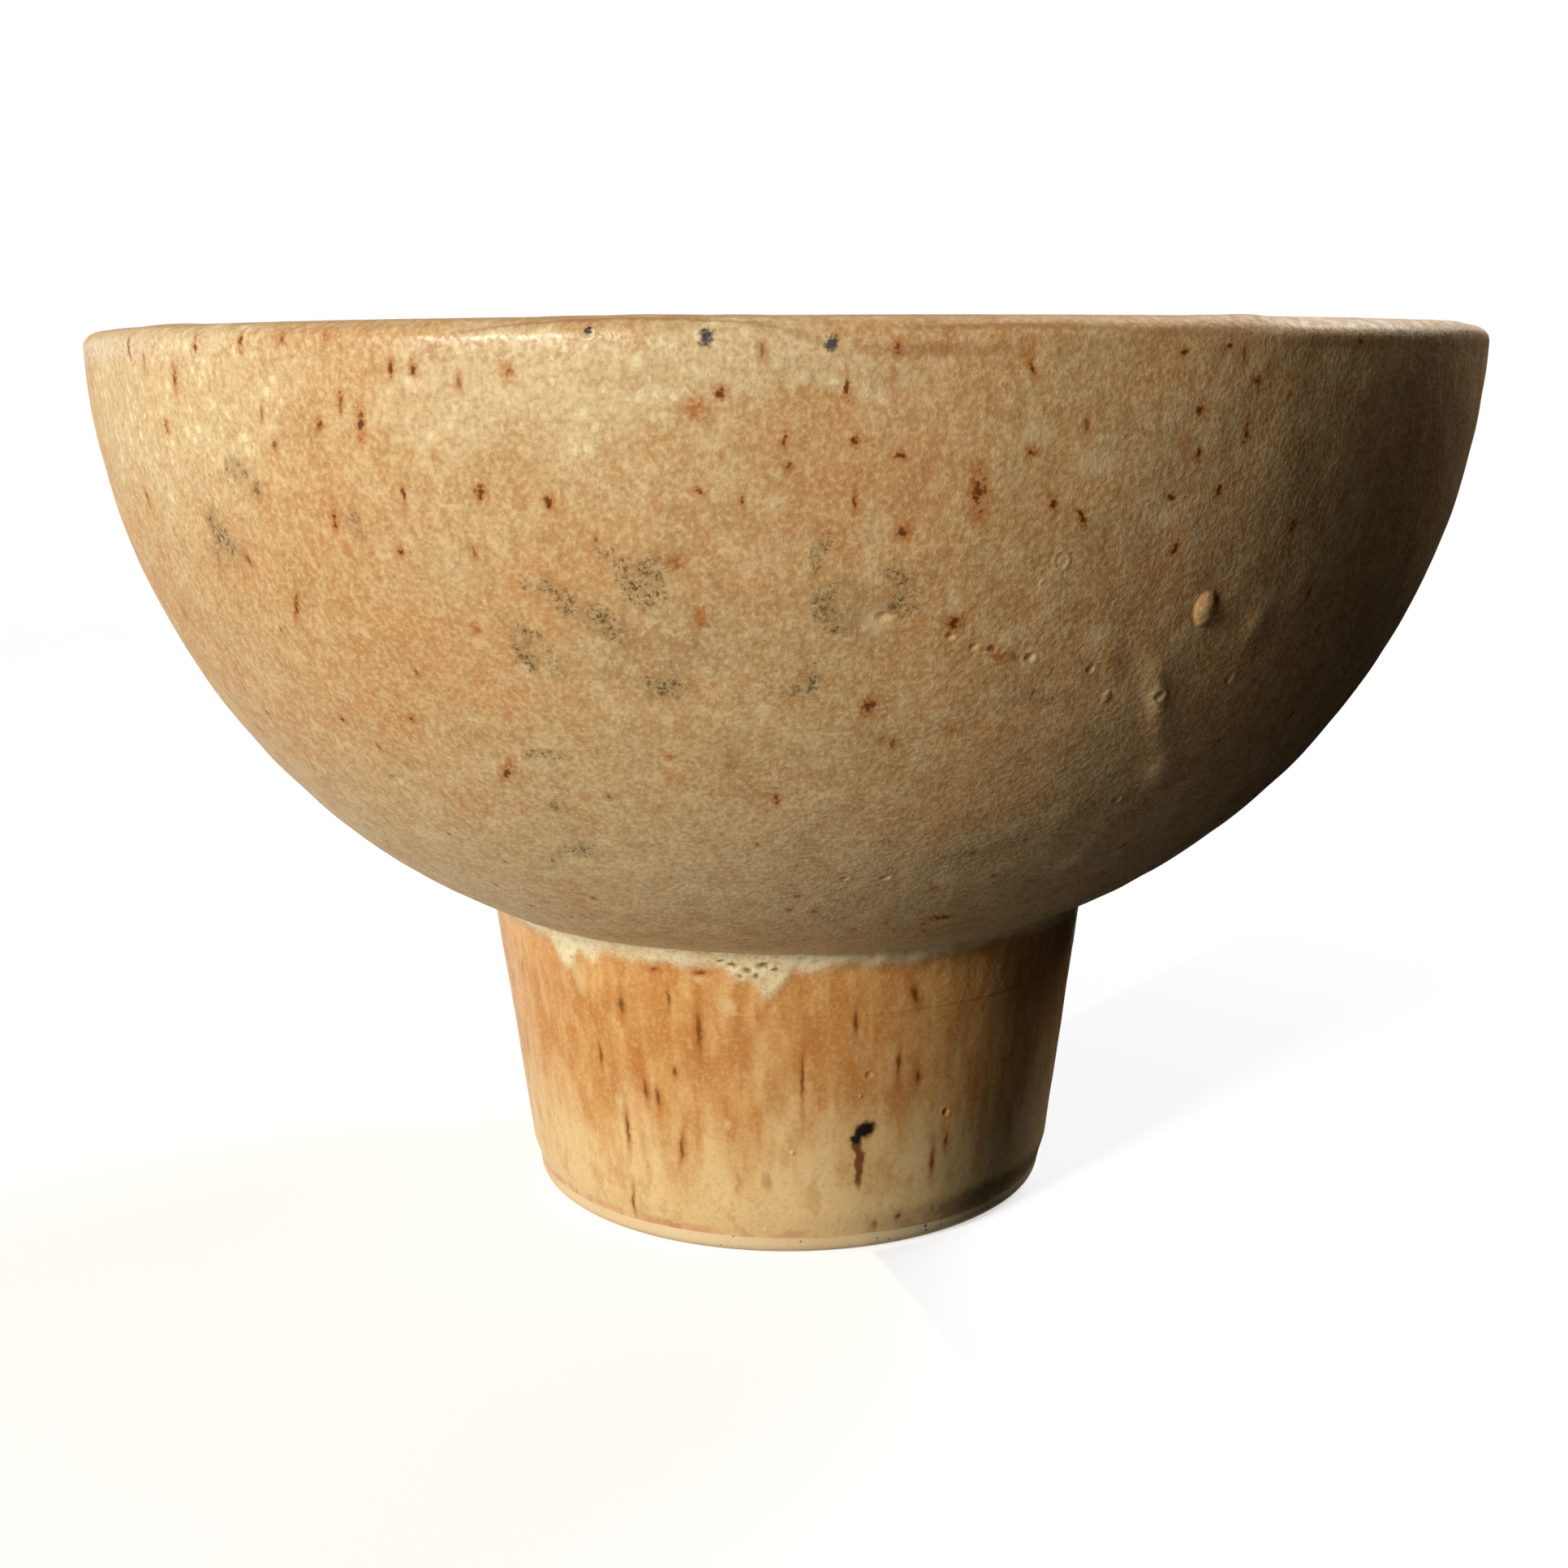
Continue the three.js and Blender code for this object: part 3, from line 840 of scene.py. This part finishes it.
def amber_ground(tree, place, fine):
    """The colour of thin glaze over the foot: amber runs above, a paler lower part, and its marks."""
    fingers = cloud(tree, place, 3.2, 3, 0.55, (1, 1, 0.22))
    runs = cloud(tree, place, 1.0, 1.5, 0.5, (1, 1, 0.17), shift=5)
    broad = cloud(tree, place, 6, 4, 0.55, (1, 1, 0.5), shift=18)
    ground = over(tree, step_up(tree, broad, 0.38, 0.62), colour(234, 178, 110), colour(220, 154, 84))
    ragged_by = step_up(tree, fingers, 0.3, 0.7, -4.5, 4.5)
    level = maths(tree, "ADD", part_of(tree, place, "Z"), ragged_by)
    pale_part = step_up(tree, level, 18.5, 4.5, 0, 0.95)
    ground = laid(tree, ground, (255, 223, 163), pale_part)
    heavy = marks_mask(tree, ragged(tree, place, 2.4, 1.6), rusty_runs, coat_face)
    ground = laid(tree, ground, (198, 124, 58), step_up(tree, heavy, 1.25, 0.2), 0.55)
    ground = laid(tree, ground, (196, 124, 58), step_up(tree, runs, 0.5, 0.68, 0, 0.34),
                  step_up(tree, pale_part, 1, 0, 0.2, 1))
    stains = cloud(tree, place, 2.4, 4, 0.65, (1, 1, 0.5), shift=44)
    blots = marks_mask(tree, ragged(tree, place, 1.2, 0.8), foot_pale, coat_face)
    ground = layered(
        tree, ground,
        (runs, 0.46, 0.32, 0.3, (252, 208, 142)),
        (stains, 0.5, 0.66, 0.35, (206, 138, 70)),
        (stains, 0.5, 0.34, 0.3, (254, 214, 150)),
        (fine["Grain"], 0.5, 0.68, 0.22, (252, 224, 172)),
        (fine["Grain"], 0.5, 0.32, 0.18, (178, 118, 62)),
        (blots, 1.3, 0.3, 0.7, (244, 212, 156)),
    )
    flecks = use(tree, specks, stretched(tree, place, 2.4), Spacing=2.6, Size=0.12, Share=0.3)
    ground = flecked(tree, ground, flecks, (0.4, (196, 122, 56)), (0.5, (150, 86, 34)))
    far_side = step_up(tree, part_of(tree, place, "Y"), -12, -5)
    strewn = use(tree, specks, stretched(tree, place, 4.0), Spacing=4, Size=0.08, Share=0.6)
    ground = flecked(tree, ground, strewn, (0.55, streak_stain), (0.8, streak_core), far_side)
    streaks = marks_mask(tree, ragged(tree, place, 0.6, 0.8), streak_marks, coat_face)
    return layered(
        tree, ground, (streaks, 2.5, 0.6, 0.55, streak_stain), (streaks, 1.15, 0.2, 0.8, streak_core),
    )


amber, tree, shader, place = new_material("amber foot glaze")
fine = use(tree, grain, place)
ground = amber_ground(tree, place, fine)
stalk = marks_mask(tree, ragged(tree, place, 0.9, 0.9), foot_stalk, coat_face)
dark = marks_mask(tree, ragged(tree, place, 1.1, 0.8), foot_black, coat_face)
ground = layered(
    tree, ground, (stalk, 1.4, 0.7, 0.9, (112, 60, 20)), (dark, 1.4, 0.6, 1, (30, 18, 16)),
)
rubbed = step_up(tree, cloud(tree, place, 3, 2, shift=9), 0.4, 0.62, 0.1, 0.5)
height = part_of(tree, place, "Z")
ground = laid(tree, ground, (216, 134, 102), step_up(tree, height, 2.9, 2.3),
              step_up(tree, height, 1.7, 1.9), rubbed)
roughness = step_up(tree, fine["Peel"], 0.3, 0.7, 0.34, 0.5)
glints = step_up(tree, marks_mask(tree, place, foot_blebs, coat_face), 1.2, 0.9)
wire(tree, shader, {
    "Base Color": ground, "Roughness": roughness, "Specular IOR Level": 0.2, "Coat Weight": glints,
    "Coat Roughness": 0.12,
})
relief = maths(tree, "ADD", maths(tree, "MULTIPLY", fine["Grain"], 0.3), fine["Peel"])
raised(tree, shader, relief, 0.03 * mm)
finished("foot_glaze_coat", coat_mesh, amber, "foot_glaze")


# The collar: glaze that ran down the bowl and pooled in the corner above the foot, where it lies
# thick and cream, broke into small craters in front and hangs down in a few tongues.
collar_fill = 0.55
collar_turns = 640
skirt_steps = 34
skirt_drop = 5.2 * mm
skirt_back = 0.3 * mm
skirt_rise = 0.03 * mm
sunk_edge = 0.25 * mm
sunk_height = 0.7 * mm
film = 0.12 * mm
film_edge = 1.8 * mm
film_start = 0.3
blend_width = 1.5 * mm
hem_height = 28.3 * mm
hem_wave = 0.9 * mm
hem_wave_length = 2.6 * mm
fray_length = 0.9 * mm
face_steps = 16

# Each tongue has its degrees, how far it hangs below the hem in millimetres, and its half width in
# degrees. A bare stretch is the same, and there the hem lies higher.
tongues = [
    (-44, 2.4, 4.5), (-37, 1.3, 3), (-7.5, 1.4, 5.5), (-3.6, 3.2, 5), (70, 2.4, 5), (131, 1.6, 6),
    (-120, 2.8, 5),
]
bare_stretches = [(-66, 1.7, 20), (40, 1.1, 22), (180, 1.2, 24), (-150, 1, 14), (100, 1.2, 16)]
# Craters, in the terms of the bowl's pinholes.
craters = [
    (-9.6, 29.2, 1, 0.8, 0, 0.24), (-7, 28.8, 1.1, 0.8, 0, 0.14), (-4.2, 29.3, 1.2, 0.9, 0, 0.28),
    (-2.4, 28.9, 0.8, 0.7, 0, 0.15), (-5.6, 28.3, 0.8, 0.7, 0, 0.12), (-11.5, 29.6, 0.8, 0.5, 0, 0.22),
    (-8.4, 28.2, 0.7, 0.6, 0, 0.12),
]

collar_edge = under_bowl(foot_top_radius + collar_reach)
past_edge = under_bowl(foot_top_radius + 2 * collar_reach)
collar_top = outward([collar_edge, past_edge], glaze_thickness)[0]
corner = (foot_top_radius + foot_glaze_thickness, crease_height - glaze_thickness)
middle = tuple((a + b) / 2 for a, b in zip(coat_high, collar_top))
drawn = tuple(a + (b - a) * collar_fill for a, b in zip(middle, corner))
skirt_end = on_line(stop_point, collar_foot, coat_high[1] - skirt_drop)
skirt_low = (skirt_end[0] + foot_glaze_thickness, skirt_end[1])
skirt = straight(skirt_low, coat_high, skirt_steps)
collar_face = joined(skirt, hollow_curve(coat_high, drawn, collar_top, face_steps))
collar_back = [
    collar_edge, under_bowl(foot_top_radius), foot_top[0], collar_foot,
    (coat_high[0] - skirt_back, coat_high[1]), (skirt_low[0] - skirt_back, skirt_low[1]),
]
collar_mesh = turned(collar_face + collar_back, collar_turns, free=range(len(collar_face) - 1))
collar_mesh.normal_update()


def hem(co):
    """The height of the collar's ragged lower edge, at the degrees of a point."""
    degrees = math.degrees(math.atan2(co.x, -co.y))
    around = Vector((co.x, co.y, 0))
    waves, fray = noise.noise(around / hem_wave_length), noise.noise(around / fray_length)
    uneven = hem_wave * (0.7 * waves + 0.4 * fray)
    hang, lift = (
        max(most * smooth(1 - abs(degrees - centre) / half) for centre, most, half in stretches)
        for stretches in (tongues, bare_stretches)
    )
    return hem_height + uneven + (lift - hang) * mm


free = collar_mesh.verts.layers.float["free"]
pooled_share = collar_mesh.verts.layers.float.new("pooled")
for vert in collar_mesh.verts:
    above_hem = vert.co.z - hem(vert.co)
    vert[pooled_share] = smooth(above_hem / blend_width)
    if vert[free] > 0:
        upper = smooth((collar_top[1] - vert.co.z) / (collar_top[1] - coat_high[1]))
        sunk = sunk_edge * smooth(1 - (vert.co.z - skirt_low[1]) / sunk_height)
        thick = skirt_rise + film * smooth(above_hem / film_edge + film_start)
        vert.co += vert.normal * (thick - sunk) * upper
hand_made(collar_mesh, *foot_waves)
for vert in collar_mesh.verts:
    vert[free] *= vert[pooled_share]
hand_made(collar_mesh, (3 * mm, 0.1 * mm), (fray_length, 0.06 * mm))
sculpt(collar_mesh, collar_face, craters, pit)

pooled, tree, shader, place = new_material("pooled cream glaze")
fine = use(tree, grain, place)
curdled = cloud(tree, place, 1.1, 3, 0.7, shift=4)
# Painted shade: each crater's hollow is coloured dark brown so that it reads as a dark hole.
crater_shade = marks_mask(tree, ragged(tree, place, 0.4, 0.5), craters, collar_face)
ground = layered(
    tree, colour(255, 240, 200),
    (cloud(tree, place, 3, 3), 0.4, 0.6, 1, (248, 225, 178)),
    (curdled, 0.52, 0.7, 0.55, (206, 168, 112)),
    (fine["Grain"], 0.5, 0.3, 0.4, (176, 138, 88)),
    (crater_shade, 1.1, 0.3, 0.8, (120, 84, 46)),
)
thickness = node(tree, "Attribute", {}, attribute_name="pooled").outputs["Fac"]
ground = over(tree, thickness, amber_ground(tree, place, fine), ground)
roughness = step_up(tree, fine["Peel"], 0.3, 0.7, 0.34, 0.5)
wire(tree, shader, {"Base Color": ground, "Roughness": roughness, "Specular IOR Level": 0.22})
raised(tree, shader, maths(tree, "ADD", fine["Grain"], fine["Peel"]), 0.05 * mm)
finished("joint_collar", collar_mesh, pooled, "joint_glaze_collar")


# The studio: a pale floor that fades into a white background, a soft lamp low on the left, a
# weaker one high at the back for the inside and the far side, and a little even light all round.
floor_size = 3.0
floor_bounce = 0.38
floor_lift = 0.6
fade_start = 0.16
fade_end = 0.6
even_light = 0.028
lamp_aim = Vector((0, 0, 45 * mm))


def seen_directly(tree):
    """1 for what the eye, a reflection or a clear piece sees, and 0 for light on its way."""
    path = tree.nodes.new("ShaderNodeLightPath").outputs
    kinds = [path[f"Is {kind} Ray"] for kind in ("Camera", "Glossy", "Transmission")]
    return maths(tree, "MAXIMUM", *kinds)


paper, tree = empty_material("pale paper")
metres = tree.nodes.new("ShaderNodeTexCoord").outputs["Object"]
away = node(tree, "VectorMath", {0: metres}, operation="LENGTH").outputs["Value"]
seen = seen_directly(tree)
matt = node(tree, "BsdfDiffuse", {"Color": (0.82, 0.84, 0.88, 1)}).outputs[0]
lift = node(tree, "Emission", {"Color": (1, 1, 1, 1), "Strength": floor_lift}).outputs[0]
near = node(tree, "AddShader", {0: matt, 1: lift}).outputs[0]
white = node(tree, "Emission", {"Color": (1, 1, 1, 1), "Strength": 1}).outputs[0]
fade = step_up(tree, away, fade_start, fade_end)
faded = node(tree, "MixShader", {0: fade, 1: near, 2: white}).outputs[0]
dim = node(tree, "BsdfDiffuse", {"Color": (floor_bounce, floor_bounce, floor_bounce, 1)}).outputs[0]
shown = node(tree, "MixShader", {0: seen, 1: dim, 2: faded}).outputs[0]
node(tree, "OutputMaterial", {0: shown})
floor_mesh = bmesh.new()
bmesh.ops.create_grid(floor_mesh, x_segments=1, y_segments=1, size=floor_size)
placed("floor", floor_mesh, paper)

world = bpy.data.worlds.new("studio")
bpy.context.scene.world = world
world.use_nodes = True
tree = world.node_tree
tree.nodes.clear()
seen = seen_directly(tree)
tone = over(tree, seen, colour(255, 214, 150), (1, 1, 1, 1))
strength = step_up(tree, seen, 0, 1, even_light, 1.0)
background = node(tree, "Background", {"Color": tone, "Strength": strength}).outputs[0]
node(tree, "OutputWorld", {0: background})


def soft_lamp(name, degrees, rise, distance, size, power, tint):
    """A soft lamp, wider than it is high, aimed at the cup from some way round it and up."""
    lamp = added(name, bpy.data.lights.new(name, "AREA"))
    turn, up = math.radians(degrees), math.radians(rise)
    way = Vector((math.sin(turn) * math.cos(up), -math.cos(turn) * math.cos(up), math.sin(up)))
    lamp.location = lamp_aim + way * distance
    lamp.rotation_mode = "QUATERNION"
    lamp.rotation_quaternion = way.to_track_quat("Z", "Y")
    lamp.visible_camera = False
    lamp.data.shape = "RECTANGLE"
    lamp.data.size, lamp.data.size_y = size
    lamp.data.energy = power
    lamp.data.color = tint
    return lamp


lamps = [
    soft_lamp("key lamp", -42, 19, 0.8, (0.22, 0.18), 5.35, (1.0, 0.955, 0.86)),
    soft_lamp("back lamp", 136, 40, 0.8, (0.5, 0.3), 4.0, (1.0, 0.98, 0.94)),
]

# A black card lies and stands on the right, out of the camera's sight and casting no shadow, so that
# the white paper doesn't shine on the shade side.
card_outline = [(0.0262, 0.0003), (0.13, 0.0003), (0.13, 0.11)]
card_start = math.radians(17)
card_end = math.radians(141)
card_steps = 24
matt_black, tree = empty_material("matt black card")
black = node(tree, "BsdfDiffuse", {"Color": (0.01, 0.01, 0.01, 1)}).outputs[0]
node(tree, "OutputMaterial", {0: black})
card_mesh = bmesh.new()
side, front = math.sin(card_start), -math.cos(card_start)
corners = [card_mesh.verts.new((out * side, out * front, up)) for out, up in card_outline]
edges = [card_mesh.edges.new(pair) for pair in zip(corners, corners[1:])]
bmesh.ops.spin(card_mesh, geom=corners + edges, axis=(0, 0, 1), angle=card_end - card_start,
               steps=card_steps)
card = placed("black_card", card_mesh, matt_black)
card.visible_camera = False
unshadowed = bpy.data.collections.new("casts no shadow")
unshadowed.objects.link(card)
unshadowed.collection_objects[0].light_linking.link_state = "EXCLUDE"
for lamp in lamps:
    lamp.light_linking.blocker_collection = unshadowed
